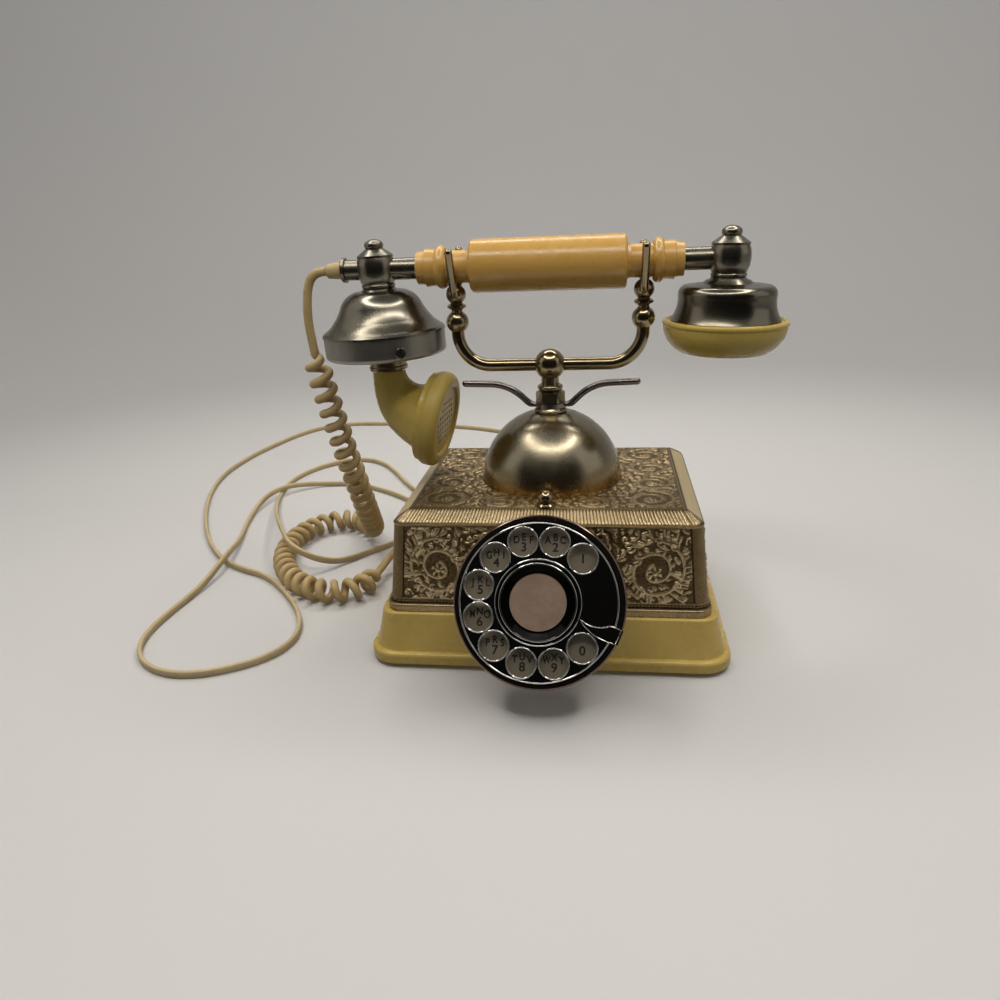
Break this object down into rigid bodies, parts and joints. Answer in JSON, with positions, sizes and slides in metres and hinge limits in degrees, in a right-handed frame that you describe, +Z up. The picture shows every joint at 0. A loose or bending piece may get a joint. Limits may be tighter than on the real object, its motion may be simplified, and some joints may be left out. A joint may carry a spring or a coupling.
{
  "type": "rotary telephone",
  "caption": "Continental style rotary desk telephone with a gilt relief housing, a dial, a raised fork cradle, a horn handset, a curled handset cord and a line cord.",
  "frame": {"origin": "centre of the telephone's footprint box on the desk, cords left out", "axes": "+X to the earpiece end, seen from the front; -Y is the dial side; +Z up"},
  "size_m": [0.461, 0.5563, 0.2173],
  "materials": {
    "ivory": "yellowed ivory moulding",
    "handle_plastic": "warm tan ivory moulding",
    "gilt_metal": "antique gilt relief with dark patina",
    "pewter": "satin nickel, slightly specked",
    "nickel": "warm polished nickel",
    "dark_steel": "darker worn steel",
    "dial_chrome": "bright polished chrome",
    "dial_print": "beige plate with printed numbers and letters",
    "card_stock": "pinkish beige card",
    "cord_cover": "tan cord cover, slightly dirty",
    "clear_plastic": "clear moulded plug",
    "black_rubber": "black rubber",
    "plain_steel": "plain plated steel",
    "inner_brass": "plain brass",
    "coil_wrap": "varnished winding",
    "inner_plastic": "black moulding"
  },
  "bodies": {
    "base": {"base_skirt": "ivory", "housing_shell": "gilt_metal", "dome": "pewter", "dome_collar": "nickel", "guide_nut": "nickel", "front_finial": "nickel", "lifting_wings": "dark_steel", "plate_screws": "dark_steel", "terminal_screws": "dark_steel", "dial_can": "dial_chrome", "dial_neck": "dial_chrome", "finger_stop": "dial_chrome", "number_plate": "dial_print", "handset_cord_lead": "cord_cover", "handset_cord_curls": "cord_cover", "handset_cord_tail": "cord_cover", "line_cord": "cord_cover", "cord_grommets": "cord_cover", "line_plug": "clear_plastic", "rubber_feet": "black_rubber", "bottom_plate": "plain_steel", "dial_frame": "plain_steel", "hook_bracket": "plain_steel", "hook_spring": "plain_steel", "mainspring": "plain_steel", "ringer_frame": "plain_steel", "pulse_contacts": "inner_brass", "hook_contacts": "inner_brass", "gongs": "inner_brass", "ringer_coils": "coil_wrap", "network_block": "inner_plastic"},
    "handset": {"handle": "handle_plastic", "stem_tubes": "nickel", "knuckles": "pewter", "end_finials": "nickel", "cord_ferrule": "nickel", "cord_boot": "cord_cover", "mouthpiece_dome": "pewter", "mouthpiece_band": "pewter", "band_screw": "dark_steel", "horn_collar": "nickel", "horn": "ivory", "transmitter_cap": "ivory", "transmitter_capsule": "inner_plastic", "earpiece_cup": "pewter", "earpiece_cap": "ivory", "receiver_capsule": "inner_plastic"},
    "cradle": {"cradle_plunger": "nickel", "cradle_ball": "nickel", "cradle_bar": "nickel", "forks": "nickel", "arm_ends": "nickel"},
    "dial": {"finger_wheel": "dial_chrome", "card_retainer": "dial_chrome", "centre_card": "card_stock", "dial_shaft": "inner_brass", "main_gear": "inner_brass"},
    "governor": {"governor": "inner_brass"},
    "clapper": {"clapper": "plain_steel"}
  },
  "joints": [
    {"name": "handset_lift", "type": "slide", "parent": "base", "child": "handset", "axis": [-0.1386, 0, 0.9903], "range_m": [0, 0.12], "deforming": ["handset_cord_lead", "handset_cord_curls", "handset_cord_tail"]},
    {"name": "cradle_plunge", "type": "slide", "parent": "base", "child": "cradle", "axis": [0, 0, 1], "range_m": [0, 0.005], "deforming": ["hook_spring"]},
    {"name": "dial_spin", "type": "hinge", "parent": "base", "child": "dial", "pos_m": [0, -0.0855, 0.058], "axis": [0, 0.8988, -0.4384], "range_deg": [0, 323], "stiffness_Nm_per_rad": 0.01},
    {"name": "governor_spin", "type": "hinge", "parent": "base", "child": "governor", "pos_m": [0.024, -0.0855, 0.058], "axis": [0, 0.8988, -0.4384], "range_deg": [-975, 0]},
    {"name": "clapper_swing", "type": "hinge", "parent": "base", "child": "clapper", "pos_m": [0, 0.057, 0.031], "axis": [0, 1, 0], "range_deg": [-6, 6], "stiffness_Nm_per_rad": 0.005}
  ],
  "couplings": [
    {"joint": "cradle_plunge", "follows": "handset_lift", "ratio": 0.041667},
    {"joint": "governor_spin", "follows": "dial_spin", "ratio": -3}
  ]
}
